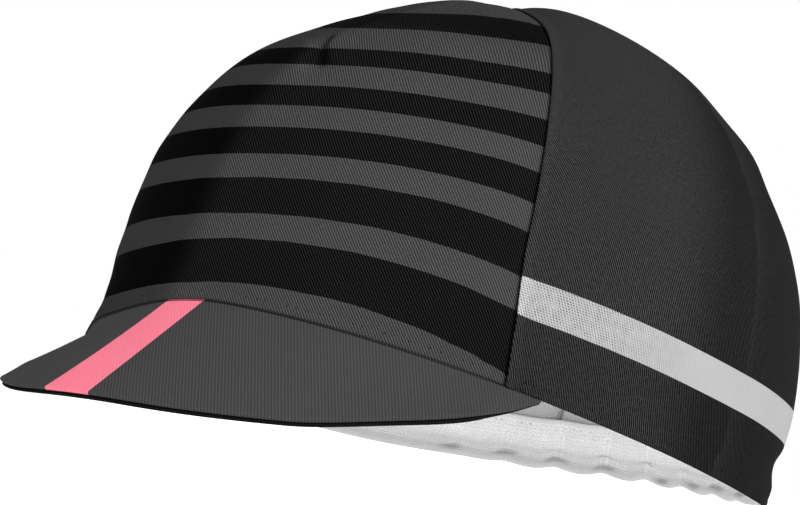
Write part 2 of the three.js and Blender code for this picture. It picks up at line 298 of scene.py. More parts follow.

# Soft folds of the sweatband where the elastic gathers it, dented and darkened with painted shade: angle
# and height
BAND_FOLDS = [
    (-137, 2.4),
    (-148, 2.7),
    (-158.5, 2.2),
    (-169.5, 1.7),
    (176, 1.4),
    (166.5, 1.6),
    (158, 2.0),
    (147, 2.0),
]

# The peak's steps from just behind the hem to its outer edge
PEAK_STEPS = np.r_[-1.3, -0.9, -0.4, np.linspace(0, 35.6, 38)]
PEAK_STEPS = np.r_[PEAK_STEPS, 36.3, 36.9, 37.3, 37.6, 37.8, 37.94, 38]

# Directions square to the ribs of the peak's cloth and along them
RIB_ACROSS = np.array((0.73, 0.61, 0.31))
RIB_ALONG = np.array((0.48, -0.27, -0.83))

# Colours: greys and one pink, from 0 to 255
STRIPE_GREY = 66
STRIPE_BLACK = 19
SIDE_GREY = 47
BAND_WHITE = 176
LINING_GREY = 177
PEAK_GREY = 67
UNDER_GREY = 22
STRIPE_PINK = (247, 128, 149)
KNIT_WHITE = 242
DARK_THREAD_GREY = 6
PALE_THREAD_GREY = 150

# Camera: where it looks from, in degrees and millimetres
CAMERA_AZIMUTH = 42.281
CAMERA_ELEVATION = -11.749
CAMERA_ROLL = 16.168
CAMERA_DISTANCE = 600
CAMERA_SIDEWAYS = -12.763
CAMERA_UP = 46.731
PIXELS_PER_MM = 3.857
PICTURE_WIDTH = 800
SENSOR_WIDTH = 36

# Studio light
STUDIO_SLOPE = 0.82
BRIGHT_SIDE = (0.78, 0.63, 0)
STUDIO_LIGHT = 0.45

# Lights and floor, in metres and watts
LIGHTS = [
    # name, place, target, width, power, seen by the camera
    ("hollow", (0, 0.02, 0.004), (0, 0.02, 0.1), 0.11, 0.118, False),
    ("key", (0.35, -1.1, 0.95), (0, 0, 0.05), 0.7, 12, True),
    ("side_fill", (1.3, 0.35, 0.5), (0, 0, 0.06), 0.8, 7, True),
]
FLOOR_HALF_WIDTH = 6

DEGREE = math.pi / 180


# Helpers


def clamp01(t):
    return np.clip(t, 0, 1)


def fade_out(value, start, end):
    """1 up to the start, 0 past the end."""
    t = clamp01((value - start) / (end - start))
    return 1 - t * t * (3 - 2 * t)


def bump(distance, spread):
    t = clamp01(np.abs(distance) / spread)
    return (1 - t * t) ** 2


def hill(distance, width):
    return np.exp(-((distance / width) ** 2))


def hills(profile, value):
    """The sum of the hills in a table: where each lies, how wide it is and how high."""
    total = 0
    for at, width, high in profile:
        total = total + high * hill(value - at, width)
    return total


def wrapped(angle):
    return angle - 360 * np.round(angle / 360)


def signed_power(value, power):
    return np.sign(value) * np.abs(value) ** power


def spline(table, t):
    """A smooth curve through the rows of a table, t from 0 to 1."""
    t = np.asarray(t, float)
    padded = np.vstack([2 * table[0] - table[1], table, 2 * table[-1] - table[-2]])
    last = len(table) - 1
    place = t * last
    i = np.clip(np.floor(place).astype(int), 0, last - 1)
    w = (place - i)[..., None]
    p0, p1, p2, p3 = padded[i], padded[i + 1], padded[i + 2], padded[i + 3]
    t0, t1 = (p2 - p0) / 2, (p3 - p1) / 2
    bend = -3 * p1 + 3 * p2 - 2 * t0 - t1
    return p1 + w * (t0 + w * (bend + w * (2 * p1 - 2 * p2 + t0 + t1)))


def unit(v):
    return v / np.maximum(np.linalg.norm(v, axis=-1, keepdims=True), 1e-12)


def ripple(a, b, seed):
    """A smooth irregular wave of two coordinates, about -1 to 1, always the same for one seed."""
    rng = np.random.default_rng(seed)
    total = 0
    for _ in range(5):
        turn, phase, stretch = rng.uniform(0, 2 * math.pi, 2).tolist() + [rng.uniform(0.6, 1.5)]
        total = total + np.sin((a * math.cos(turn) + b * math.sin(turn)) * stretch + phase)
    return total / 3


# The crown's smooth form

DENSE = np.linspace(0, 1, 4001)
DENSE_RISE = spline(CROWN_SECTIONS, DENSE)[:, 0]


def share_at_height(height):
    return np.interp(np.asarray(height, float) / CROWN_HEIGHT, DENSE_RISE, DENSE)


def rim_point(angle):
    s, c = np.sin(angle * DEGREE), np.cos(angle * DEGREE)
    front = c > 0
    power = np.where(front, 2 / RIM_FRONT_ROUNDNESS, 2 / RIM_BACK_ROUNDNESS)
    reach = np.where(front, RIM_FRONT_REACH, RIM_BACK_REACH)
    rise = np.where(front, RIM_FRONT_RISE, RIM_BACK_RISE)
    arch = clamp01((np.abs(c) - RIM_FLAT_SHARE) / (1 - RIM_FLAT_SHARE)) ** 2
    across = RIM_HALF_WIDTH * signed_power(s, power)
    return np.stack([across, -reach * signed_power(c, power), rise * arch], -1)


def near_wave(angle):
    return WAVE_DROP * bump(wrapped(angle - WAVE_ANGLE), WAVE_SPREAD)


def hem_wave(angle):
    far = FAR_DROP * bump(wrapped(angle - FAR_DROP_ANGLE), FAR_DROP_SPREAD)
    behind = 1 - fade_out(np.abs(wrapped(angle)), BACK_LIFT_FROM, BACK_LIFT_TO)
    return near_wave(angle) + far - BACK_LIFT * behind


WAVE_TOP = float(share_at_height(WAVE_HEIGHT))
GATHER_TOP = float(share_at_height(GATHER_HEIGHT))
BAND_TOP_SHARE = float(share_at_height(SWEATBAND_HEIGHT))


def smooth_crown(angle, share):
    angle, share = np.broadcast_arrays(np.asarray(angle, float), np.asarray(share, float))
    c = np.cos(angle * DEGREE)
    front, back = np.maximum(c, 0) ** 2, np.maximum(-c, 0) ** 2
    row = spline(CROWN_SECTIONS, share)
    rise = row[..., 0]
    reach = front * row[..., 1] + (1 - front - back) * row[..., 2] + back * row[..., 3]
    rim = rim_point(angle)
    wave = hem_wave(angle) * fade_out(share, 0, WAVE_TOP)
    return np.stack(
        [
            rim[..., 0] * reach,
            -TOP_FORWARD + (rim[..., 1] + TOP_FORWARD) * reach,
            rim[..., 2] * (1 - rise) + CROWN_HEIGHT * rise - wave,
        ],
        -1,
    )


def crown_normal(angle, share):
    step = 0.0005
    low = np.maximum(share - step, 0)
    along = smooth_crown(angle + 0.05, share) - smooth_crown(angle - 0.05, share)
    return unit(np.cross(along, smooth_crown(angle, share + step) - smooth_crown(angle, low)))


def share_near_top(distance):
    """The share at which the front's middle line comes within a distance of the top point."""
    shares = np.linspace(0.5, 1, 20001)
    p = smooth_crown(0, shares)
    return float(shares[np.argmax(np.hypot(p[:, 0], p[:, 1] + TOP_FORWARD) < distance)])


TIP_SHARE = share_near_top(FRONT_TIP_AHEAD)
TURN_SHARE = float(share_at_height(SEAM_TURN_HEIGHT))


def front_seam(share):
    past_turn = clamp01((share - TURN_SHARE) / (TIP_SHARE - TURN_SHARE))
    left = np.sqrt(np.maximum(1 - past_turn**SEAM_TURN_ROUNDNESS, 0))
    return spline(CROWN_SECTIONS, share)[..., 4] * left


def back_seam(share):
    return 180 - BACK_SEAM_ANGLE + 0 * np.asarray(share, float)


def away_from(points, line):
    """The distance of points from a line of many short pieces."""
    flat = points.reshape(-1, 3)
    best = np.full(len(flat), 1e9)
    for a, b in zip(line[:-1], line[1:]):
        ab = b - a
        size = ab @ ab
        if size < 1e-12:
            continue
        t = clamp01((flat - a) @ ab / size)
        best = np.minimum(best, ((flat - a - t[:, None] * ab) ** 2).sum(1))
    return np.sqrt(best).reshape(points.shape[:-1])


LINE_SHARES = np.sin(np.linspace(0, math.pi / 2, 160))
SEAM_LINES = {
    "front": smooth_crown(front_seam(LINE_SHARES), LINE_SHARES),
    "back": smooth_crown(back_seam(LINE_SHARES), LINE_SHARES),
}


def on_left(points):
    return points * np.sign(points[..., :1] + 1e-9) ** np.array([1, 0, 0])


def elastic_share(angle):
    from_back = np.abs(wrapped(angle - 180))
    start = ELASTIC_HALF_ANGLE - ELASTIC_FADE_ANGLE
    return fade_out(from_back, start, ELASTIC_HALF_ANGLE + ELASTIC_FADE_ANGLE)


def gather_lobe(angle):
    pitch = 2 * ELASTIC_HALF_ANGLE / GATHERS
    return np.abs(np.sin(math.pi * wrapped(angle - 180) / pitch)) - 0.5


def pinch_place(angle, height):
    """How far a point lies up from the pinched crease's middle, and to its side in degrees."""
    up = height - (PINCH_BOTTOM + PINCH_TOP) / 2
    return up, wrapped(angle) - PINCH_ANGLE + PINCH_LEAN * up / (PINCH_TOP - PINCH_BOTTOM)


def pinch(angle, height):
    """The small leaning crease high in front, with the soft bulge beside it."""
    up, side = pinch_place(angle, height)
    bulge = PINCH_BULGE * hill(side - PINCH_BULGE_ANGLE, PINCH_BULGE_SPREAD)
    inward = PINCH_DEPTH * bump(side, PINCH_HALF_ANGLE) - bulge
    return inward * bump(up, (PINCH_TOP - PINCH_BOTTOM) / 2)


def pinch_shade(angle, height):
    """Painted shade of the crease: under 0 for its painted shadow, over 0 for a painted highlight on the
    soft bulge beside it.
    """
    up, side = pinch_place(angle, height)
    wide = 0.7 + 1.4 * clamp01((1 - up) / 7)
    shadow = hill(side - 0.2 * wide, wide) * fade_out(np.abs(up + 1), 5.5, 8.5)
    return hill(side + 3.6, 2.4) * hill(up + 3.5, 7) - shadow


def hem_flare(angle, height):
    return hills(FLARE_PROFILE, height) * bump(wrapped(angle - FLARE_ANGLE), FLARE_SPREAD)


def soft_bends(angle, height):
    total = 0
    for at_angle, angle_spread, at_height, height_spread, out in SOFT_BENDS:
        near = bump(wrapped(angle - at_angle), angle_spread)
        total = total + out * near * hill(height - at_height, height_spread)
    return total


def crown_outer(angle, share):
    """The crown's outer surface with its gathers, waist, pinch and soft dents."""
    p = smooth_crown(angle, share)
    normal = crown_normal(angle, share)
    height = spline(CROWN_SECTIONS, share)[..., 0] * CROWN_HEIGHT
    left = on_left(p)
    away = np.minimum(away_from(left, SEAM_LINES["front"]), away_from(left, SEAM_LINES["back"]))
    elastic = elastic_share(angle)
    over_band = 1 - fade_out(share, BAND_TOP_SHARE, 2 * BAND_TOP_SHARE)
    inward = SEAM_SINK * np.exp(-away / SEAM_SOFTNESS) * over_band
    from_back = np.abs(wrapped(angle - 180))
    drawn_in = fade_out(from_back, ELASTIC_HALF_ANGLE + 14, ELASTIC_HALF_ANGLE + 42)
    inward = inward + WAIST_DEPTH * drawn_in * bump(height - WAIST_HEIGHT, WAIST_SPREAD)
    beside = bump(from_back - DRAW_FROM_BACK, DRAW_SPREAD)
    inward = inward + DRAW_DEPTH * beside * fade_out(height, 12, 26)
    inward = inward - GATHER_DEPTH * elastic * gather_lobe(angle) * fade_out(share, 0, GATHER_TOP)
    inward = inward + pinch(angle, height) - hem_flare(angle, height) - soft_bends(angle, height)
    near_top = 1 - fade_out(height, TOP_SINK_FROM, TOP_SINK_TO)
    inward = inward + TOP_SINK * hill(away, TOP_SINK_SPREAD) * near_top
    settled = 1 - fade_out(height, SETTLE_FROM, SETTLE_TO)
    held_up = (1 - fade_out(height, SETTLE_TOP, CROWN_HEIGHT)) * bump(wrapped(angle), 80)
    inward = inward + SETTLE_DEPTH * settled * (1 - 1.2 * held_up)
    dents = ripple(angle * 1.4 / 9, height / 8, 3) * (1 - fade_out(height, 4, 22))
    p = p - normal * (inward + DENT_DEPTH * dents)[..., None]
    p[..., 2] -= GATHER_SCALLOP * elastic * gather_lobe(angle) * fade_out(height, 0, SWEATBAND_HEIGHT)
    return p


# Meshes


def turned(points):
    """Points or directions in the rim's frame, tipped as the cap rests."""
    c, s = math.cos(TIP), math.sin(TIP)
    x, y, z = points[..., 0], points[..., 1], points[..., 2]
    return np.stack([x, y * c + z * s, -y * s + z * c], -1)


def to_row(points):
    """Points in the rim's frame, in millimetres, to the row's frame, in metres."""
    return (turned(points) + SHIFT) / 1000


def grid_faces(rows, columns, ring=False):
    across = columns if ring else columns - 1
    r, c = np.meshgrid(np.arange(rows - 1), np.arange(across), indexing="ij")
    nxt = (c + 1) % columns
    low = r * columns
    high = low + columns
    return np.stack([low + c, low + nxt, high + nxt, high + c], -1).reshape(-1, 4)


def make_mesh(name, points, faces, attributes=(), materials=(), material_index=None):
    mesh = bpy.data.meshes.new(name)
    flat = to_row(points.reshape(-1, 3))
    mesh.vertices.add(len(flat))
    mesh.vertices.foreach_set("co", flat.astype(np.float32).ravel())
    mesh.loops.add(faces.size)
    mesh.loops.foreach_set("vertex_index", faces.astype(np.int32).ravel())
    mesh.polygons.add(len(faces))
    mesh.polygons.foreach_set("loop_start", np.arange(0, faces.size, faces.shape[1], dtype=np.int32))
    mesh.polygons.foreach_set("use_smooth", np.ones(len(faces), bool))
    for m in materials:
        mesh.materials.append(m)
    if material_index is not None:
        mesh.polygons.foreach_set("material_index", material_index.astype(np.int32))
    for key, values in attributes:
        values = np.asarray(values, np.float32)
        kind, field = ("FLOAT", "value") if values.ndim == 1 else ("FLOAT_VECTOR", "vector")
        mesh.attributes.new(key, kind, "POINT").data.foreach_set(field, values.ravel())
    mesh.update(calc_edges=True)
    mesh.validate()
    made = bpy.data.objects.new(name, mesh)
    bpy.context.scene.collection.objects.link(made)
    return made


def cloth_piece(name, outer, inner, attributes, materials, ring=False, fall=None):
    """A closed sheet from an outer and an inner grid. attributes hold one value for each grid point.

    The second material is the cloth's back. It starts where the rounded edge, fall, has ended.
    """
    rows, columns = outer.shape[:2]
    half = rows * columns
    skin = grid_faces(rows, columns, ring)
    lining = skin[:, ::-1] + half
    across = columns if ring else columns - 1
    c = np.arange(across)
    nxt = (c + 1) % columns
    top = (rows - 1) * columns
    foot = np.stack([c, c + half, nxt + half, nxt], -1)
    head = np.stack([c + top, nxt + top, nxt + top + half, c + top + half], -1)
    faces = [skin, foot, head]
    if not ring:
        r = np.arange(rows - 1) * columns
        faces.append(np.stack([r, r + columns, r + columns + half, r + half], -1))
        end = r + columns - 1
        faces.append(np.stack([end, end + half, end + columns + half, end + columns], -1))
    outside = np.vstack(faces)
    everything = np.vstack([outside, lining])
    index = None
    if len(materials) > 1:
        turned = fall.ravel()[lining - half].mean(1) > 0.02
        index = np.r_[np.zeros(len(outside)), np.where(turned, 0, 1)]
    points = np.concatenate([outer.reshape(-1, 3), inner.reshape(-1, 3)])
    doubled = []
    for key, values in attributes:
        flat = values.reshape((half,) + values.shape[2:])
        doubled.append((key, np.concatenate([flat, flat])))
    return make_mesh(name, points, everything, doubled, materials, index)


def grid_normals(points, ring=False):
    """Outward normals of a grid of points, rows going up and columns to the wearer's left."""
    if ring:
        along = np.roll(points, -1, 1) - np.roll(points, 1, 1)
    else:
        along = np.gradient(points, axis=1)
    return unit(np.cross(along, np.gradient(points, axis=0)))


def rounded(distance, radius):
    """How far a rounded edge falls away at a distance from it."""
    t = clamp01(distance / radius)
    return radius * (1 - np.sqrt(1 - (1 - t) ** 2))


# Crown panels


def row_shares():
    """Shares of the crown's rows: close at the hem, about 1 mm apart above, close at the front tip."""
    line = smooth_crown(50.0, DENSE)
    length = np.r_[0, np.cumsum(np.linalg.norm(np.diff(line, axis=0), axis=1))]
    tip = np.interp(TIP_SHARE, DENSE, length)
    body = np.linspace(EDGE_STEPS[-1], tip - TIP_STEPS[-1], 112)
    below = np.r_[EDGE_STEPS[:-1], body, tip - TIP_STEPS[-2::-1]]
    above = np.linspace(TIP_SHARE, 0.9995, 14)
    return np.r_[np.interp(below, length, DENSE), above]


ROW_SHARES = row_shares()
FRONT_ROWS = ROW_SHARES[ROW_SHARES < TIP_SHARE - 1e-9]


def mm_per_degree(angle, share):
    step = smooth_crown(angle + 0.05, share) - smooth_crown(angle - 0.05, share)
    return np.linalg.norm(step, axis=-1) / 0.1


def panel_grid(start, end, columns, rows, lap):
    """Angles of a panel's grid and each point's distance from its two edges."""
    lo, hi = start(rows), end(rows)
    lo = lo - lap / mm_per_degree(lo, rows)
    hi = hi + lap / mm_per_degree(hi, rows)
    middle = (lo + hi) / 2
    width = (hi - lo) * mm_per_degree(middle, rows)
    scale = np.minimum(1, 0.4 * width / EDGE_STEPS[-1])[:, None]
    near = EDGE_STEPS[None, :] * scale
    first = lo[:, None] + near / mm_per_degree(lo, rows)[:, None]
    last = hi[:, None] - near[:, ::-1] / mm_per_degree(hi, rows)[:, None]
    t = np.linspace(0, 1, columns + 2)[None, 1:-1]
    body = first[:, -1:] + (last[:, :1] - first[:, -1:]) * t
    angles = np.hstack([first, body, last])
    step = mm_per_degree(angles, rows[:, None])
    from_start = (angles - lo[:, None]) * step
    from_end = (hi[:, None] - angles) * step
    return angles, from_start, from_end


def surface_lengths(points, middle_column):
    """Flat cloth coordinates of a grid: length along each row from one column, and length up."""
    along = np.linalg.norm(np.diff(points, axis=1), axis=-1)
    a = np.hstack([np.zeros((len(points), 1)), np.cumsum(along, 1)])
    a = a - a[:, middle_column : middle_column + 1]
    up = np.linalg.norm(np.diff(points, axis=0), axis=-1)
    h = np.vstack([np.zeros((1, points.shape[1])), np.cumsum(up, 0)])
    return a, h


def crown_panel(name, start, end, columns, rows, roll, cloth, extra, lap):
    """A crown panel. roll gives how far it stands proud near its two seams, extra its own attributes.

    lap is how far the panel goes on past its seams, under its neighbours' folds.
    """
    angles, from_start, from_end = panel_grid(start, end, columns, rows, lap)
    shares = np.repeat(rows[:, None], angles.shape[1], 1)
    height = spline(CROWN_SECTIONS, shares)[..., 0] * CROWN_HEIGHT
    near = np.minimum(from_start, from_end)
    grid = dict(angles=angles, shares=shares, height=height, near=near)
    grid.update(from_start=from_start, from_end=from_end)
    p = crown_outer(angles, shares)
    proud = roll(grid) - HEM_STITCH_DENT * hill(height - HEM_STITCH_HEIGHT, 0.45)
    p = p + grid_normals(p) * proud[..., None]
    normal = grid_normals(p)
    wall = SEAM_WALL + (CLOTH_WALL - SEAM_WALL) * (1 - fade_out(near, 1.5, 4.5))
    fall = np.minimum(rounded(np.minimum(near, height), wall / 2), wall / 2 - EDGE_HALF_WALL)
    outer = p - normal * fall[..., None]
    inner = p - normal * (wall - fall)[..., None]
    middle = np.argmin(np.abs(wrapped(angles[0] - (start(0.0) + end(0.0)) / 2)))
    a, h = surface_lengths(p, int(middle))
    grid["points"] = p
    attributes = [
        ("cloth", np.stack([a, h, 0 * a], -1)),
        ("seam_away", near),
        # Painted shadow beside a seam, where the panel goes under its neighbour's fold
        ("seam_shade", hill(near - lap, 0.75) * np.sign(lap)),
        # Painted shade at the hem's lower edge
        ("hem_shade", hill(height, 0.35)),
        # Painted shade on the lowest part of the plain panels
        ("low", 1 - fade_out(BAND_BOTTOM + 3 - height, 0, 6)),
    ]
    attributes += extra(grid)
    return cloth_piece(name, outer, inner, attributes, [cloth, LINING], fall=fall), grid


def side_roll(grid):
    """A side panel's folded edges lie over its neighbours, with small puckers along the seams."""
    near, height = grid["near"], grid["height"]
    fold = FOLD_PROUD * fade_out(near, 0.8, 3.2)
    pucker = 0.16 * ripple(height / 2.6, near / 4, 7) * hill(near - 2.2, 2.0)
    knot = 0.4 * hill(near - 1.4, 1.2) * hill(height - PUCKER_HEIGHT, 1.6)
    return fold + pucker + knot


def under_fold(grid):
    """The front and back panels dip a little where they go under the folds."""
    near, height = grid["near"], grid["height"]
    pucker = 0.12 * ripple(height / 3.1, near / 5, 5) * hill(near - 3.5, 2.5)
    return pucker - 0.12 * fade_out(near, 0.9, 2.6)


def front_roll(grid):
    """The front panel also has one small crease near its top."""
    crease = hills(TOP_CREASE_PROFILE, grid["height"]) * bump(grid["angles"] + 4, 16)
    return under_fold(grid) + TOP_CREASE_DEPTH * crease


def stripe_field(grid):
    """A number that grows up the front panel, odd between the edges of each dark stripe."""
    angles, shares, height = grid["angles"], grid["shares"], grid["height"]
    z = grid["points"][..., 2] + near_wave(angles) * fade_out(shares, 0, WAVE_TOP)
    q = np.clip(angles / np.maximum(front_seam(shares), 1e-3), -1, 1)[..., None]
    rows = np.array(DARK_STRIPES)
    middle = rows[:, :2].ravel()
    seam = rows[:, 2:].ravel()
    sway = STRIPE_SWAY * fade_out(middle, SWAY_FADES_FROM, SWAY_FADES_TO)
    right_sway = np.r_[LOWEST_SWAY_RIGHT, sway[1:]]
    edges = middle + (seam - middle) * q**2 + np.where(q < 0, right_sway, sway) * q * (1 - q**2)
    field = np.zeros(z.shape)
    low = edges[..., 0] - 6
    for i in range(len(middle)):
        high = edges[..., i]
        field = field + clamp01((z - low) / (high - low))
        low = high
    field = field + np.maximum(z - low, 0) / 30
    # Painted shade: the front panel's colour darkens towards the wearer's right and near its top
    shade = 1 - fade_out(-angles, *SHADE_ANGLES)
    shade = np.maximum(shade, 0.5 * (1 - fade_out(height, *SHADE_HEIGHTS)))
    return [("stripe", field), ("pinch", pinch_shade(angles, height)), ("shade", shade)]


def band_field(grid, near):
    """Over 0 on the printed band, in millimetres from its edge. Its corners round off near a seam."""
    angles = grid["angles"]
    from_front = np.abs(wrapped(angles))
    back_rise = np.where(from_front > 90, rim_point(angles)[..., 2], 0)
    lift = grid["points"][..., 2] - back_rise - BAND_RISE * (1 - fade_out(from_front, 80, 108))
    half = (BAND_TOP - BAND_BOTTOM) / 2
    from_edge = half - np.abs(lift - (BAND_TOP + BAND_BOTTOM) / 2)
    return [("band", from_edge - rounded(near, BAND_CORNER))]


def band_from_start(grid):
    return band_field(grid, grid["from_start"])


def band_from_end(grid):
    return band_field(grid, grid["from_end"])


def band_across(grid):
    return band_field(grid, 2 * BAND_CORNER + 0 * grid["near"])


# Materials


class Nodes:
    """Short ways to wire the nodes of a material or of the world."""

    def __init__(self, owner, shader="Principled BSDF"):
        owner.use_nodes = True
        self.owner = owner
        self.tree = owner.node_tree
        self.shader = self.tree.nodes[shader]

    def put(self, value, socket):
        """Sets a socket to a number or a colour, or links it to another node's output."""
        if isinstance(value, (int, float, tuple)):
            socket.default_value = value
        else:
            self.tree.links.new(value, socket)

    def add(self, kind, **values):
        node = self.tree.nodes.new(kind)
        for key, value in values.items():
            setattr(node, key, value)
        return node

    def attribute(self, name, output="Fac"):
        return self.add("ShaderNodeAttribute", attribute_name=name).outputs[output]

    def math(self, operation, *values):
        node = self.add("ShaderNodeMath", operation=operation)
        for socket, value in zip(node.inputs, values):
            self.put(value, socket)
        return node.outputs[0]

    def times(self, a, b, plus=None):
        """a times b, plus a third value where there is one."""
        if plus is None:
            return self.math("MULTIPLY", a, b)
        return self.math("MULTIPLY_ADD", a, b, plus)

    def split(self, vector):
        node = self.add("ShaderNodeSeparateXYZ")
        self.put(vector, node.inputs[0])
        return node.outputs

    def noise(self, vector, scale, detail):
        node = self.add("ShaderNodeTexNoise")
        for name, value in (("Vector", vector), ("Scale", scale), ("Detail", detail)):
            self.put(value, node.inputs[name])
        return node.outputs["Fac"]

    def mix(self, share, a, b, **values):
        node = self.add("ShaderNodeMix", data_type="RGBA", **values)
        for i, value in ((0, share), (6, a), (7, b)):
            self.put(value, node.inputs[i])
        return node.outputs[2]

    def scale(self, colour, amount):
        """A colour times a grey amount."""
        amounts = self.add("ShaderNodeCombineColor")
        for i in range(3):
            self.put(amount, amounts.inputs[i])
        return self.mix(1, colour, amounts.outputs[0], blend_type="MULTIPLY")

    def bump(self, height, strength, distance):
        node = self.add("ShaderNodeBump")
        for name, value in (("Height", height), ("Strength", strength), ("Distance", distance)):
            self.put(value, node.inputs[name])
        return node.outputs["Normal"]

    def finish(self, values):
        """Gives the shader its values, and gives back the nodes' owner."""
        for name, value in values.items():
            self.put(value, self.shader.inputs[name])
        return self.owner

    def wave(self, value):
        """0 to 1, once for each whole number of a value."""
        turn = self.times(value, 2 * math.pi)
        return self.times(self.math("SINE", turn), 0.5, 0.5)


def material(name):
    return Nodes(bpy.data.materials.new(name))


def grey(value):
    """An sRGB grey from 0 to 255 as a linear colour."""
    return colour(value, value, value)


def colour(r, g, b):
    def linear(v):
        v = v / 255
        return v / 12.92 if v <= 0.04045 else ((v + 0.055) / 1.055) ** 2.4

    return (linear(r), linear(g), linear(b), 1.0)


def lines_at(n, cloth, degrees, pitch):
    """A coordinate across parallel lines of the cloth, which lean from its upright by an angle."""
    x, y, _ = n.split(cloth)
    across = n.times(x, math.cos(degrees * DEGREE) / pitch)
    return n.times(y, math.sin(degrees * DEGREE) / pitch, across)


def twill(n, cloth, degrees, pitch, dotted=0.35):
    """A twill weave, about -1 to 1: leaning ridges, each made of short stitches."""
    wobble = n.noise(cloth, 0.3, 2)
    t = n.times(wobble, 0.3, lines_at(n, cloth, degrees, pitch))
    ridge = n.math("SINE", n.times(t, 2 * math.pi))
    steps = lines_at(n, cloth, degrees + 62, pitch * 0.9)
    step = n.wave(n.times(n.noise(cloth, 0.8, 1), 0.6, steps))
    uneven = n.math("SUBTRACT", n.noise(cloth, 2.2, 3), 0.5)
    woven = n.times(ridge, n.times(step, dotted, 1 - dotted / 2))
    return n.times(uneven, 0.9, woven)


def pin_holes(n, cloth, degrees, pitch):
    """Small gaps between the stitches, in leaning rows, about -1 in a gap and 0 elsewhere."""
    wobble = n.noise(cloth, 0.35, 2)
    row = n.wave(n.times(wobble, 0.5, lines_at(n, cloth, degrees, pitch * 1.2)))
    step = n.wave(n.times(wobble, 0.5, lines_at(n, cloth, degrees + 66, pitch * 0.95)))
    gap = n.math("POWER", n.times(row, n.times(step, 0.75, 0.25)), 1.5)
    return n.times(gap, n.times(n.noise(cloth, 0.5, 3), -2.4, 0.2))


def mapped(n, value, start, end, first, last, **values):
    """From first to last as a value goes from its start to its end."""
    node = n.add("ShaderNodeMapRange", **values)
    sockets = ("Value", "From Min", "From Max", "To Min", "To Max")
    for socket, number in zip(sockets, (value, start, end, first, last)):
        n.put(number, node.inputs[socket])
    return node.outputs[0]


def changed(n, value, start, end, last):
    """1 where a value is under its start, changing softly to a last value at its end."""
    return mapped(n, value, start, end, 1, last, interpolation_type="SMOOTHSTEP")


def faded(n, name, start, end, last):
    return changed(n, n.attribute(name), start, end, last)


def finish_cloth(n, base, weave, roughness, cloth, contrast):
    """Colour darker between the weave's ridges, soft patches of wear, and the weave as relief."""
    patch = n.noise(cloth, 0.05, 3)
    shade = n.math("MAXIMUM", n.times(weave, contrast, 1), 0.04)
    shade = n.times(shade, n.times(patch, 0.16, 0.92))
    values = {"Base Color": n.scale(base, shade), "Normal": n.bump(weave, 0.5, WEAVE_DEPTH)}
    return n.finish(values | {"Roughness": roughness, "Specular IOR Level": 0.02})


def striped_cloth():
    n = material("striped_cotton")
    cloth = n.attribute("cloth", "Vector")
    ragged = n.times(n.math("SUBTRACT", n.noise(cloth, 1.4, 1), 0.5), 0.03)
    stripe = n.math("MODULO", n.attribute("stripe"), 2)
    dark = n.math("GREATER_THAN", n.math("ADD", stripe, ragged), 1)
    # Painted shade: the black and the grey darken where the front panel turns from the light
    black = n.scale(grey(STRIPE_BLACK), faded(n, "shade", 0, 1, 0.3))
    base = n.mix(dark, grey(STRIPE_GREY), black)
    base = n.scale(base, faded(n, "shade", 0, 1, 0.58))
    # Painted shade in the crevice at the hem's lower edge
    base = n.scale(base, faded(n, "hem_shade", 0.2, 1, 0.12))
    # Painted shadow beside the seams
    base = n.scale(base, faded(n, "seam_shade", 0.2, 1, 0.15))
    # Painted highlight on the pinch's bulge and painted shadow in its crease
    base = n.scale(base, faded(n, "pinch", 0, 1, 1.4))
    base = n.scale(base, faded(n, "pinch", 0, -1, 0.1))
    contrast = n.times(dark, 0.85, 0.65)
    # The weave also fades in that painted shade
    smooth = faded(n, "shade", 0, 1, 0.3)
    weave = n.times(twill(n, cloth, TWILL_LEAN, TWILL_PITCH), smooth)
    return finish_cloth(n, base, weave, 0.85, cloth, contrast)


def side_cloth(name):
    n = material(name)
    cloth = n.attribute("cloth", "Vector")
    white = n.math("GREATER_THAN", n.attribute("band"), 0)
    # Painted shade: the plain grey darkens far from the seams and low down
    painted_shade = n.times(faded(n, "seam_away", 34, 72, 0.44), faded(n, "low", 0, 1, 0.82))
    base = n.mix(white, n.scale(grey(SIDE_GREY), painted_shade), grey(BAND_WHITE))
    # Painted shadow beside the seams, on the back panel only
    base = n.scale(base, faded(n, "seam_shade", 0.2, 1, 0.25))
    # Painted highlight: a lighter strip on the fold along each seam
    base = n.scale(base, n.times(faded(n, "seam_away", 1, 3, 0.86), 1.16))
    ribs = twill(n, cloth, SIDE_TWILL_LEAN, SIDE_TWILL_PITCH, 0.6)
    uneven = n.math("SUBTRACT", n.noise(cloth, 1.0, 3), 0.5)
    ribs = n.times(ribs, SIDE_CONTRAST, n.times(uneven, 1.1))
    ribs = n.times(ribs, faded(n, "seam_away", 8, 60, 2))
    ribs = n.times(ribs, changed(n, n.split(cloth)[1], 55, 95, 0.45))
    holes = pin_holes(n, cloth, SIDE_TWILL_LEAN, SIDE_TWILL_PITCH)
    holes = n.times(holes, faded(n, "seam_away", 14, 68, 0.05))
    holes = n.times(ribs, 0.06, n.times(holes, 0.85))
    plain_ribs = n.times(ribs, n.math("SUBTRACT", 1, white))
    weave = n.times(holes, white, plain_ribs)
    return finish_cloth(n, base, weave, 0.85, cloth, 1)


def lining_cloth():
    """The cloth's plain back, seen inside the crown. Along its seams its colour is darkened as painted
    shade.
    """
    n = material("cotton_back")
    cloth = n.attribute("cloth", "Vector")
    weave = twill(n, cloth, -SIDE_TWILL_LEAN, SIDE_TWILL_PITCH, 0.5)
    shade = faded(n, "seam_shade", 0.2, 1, 0.45)
    base = n.scale(grey(LINING_GREY), shade)
    return finish_cloth(n, base, weave, 0.9, cloth, 0.07)


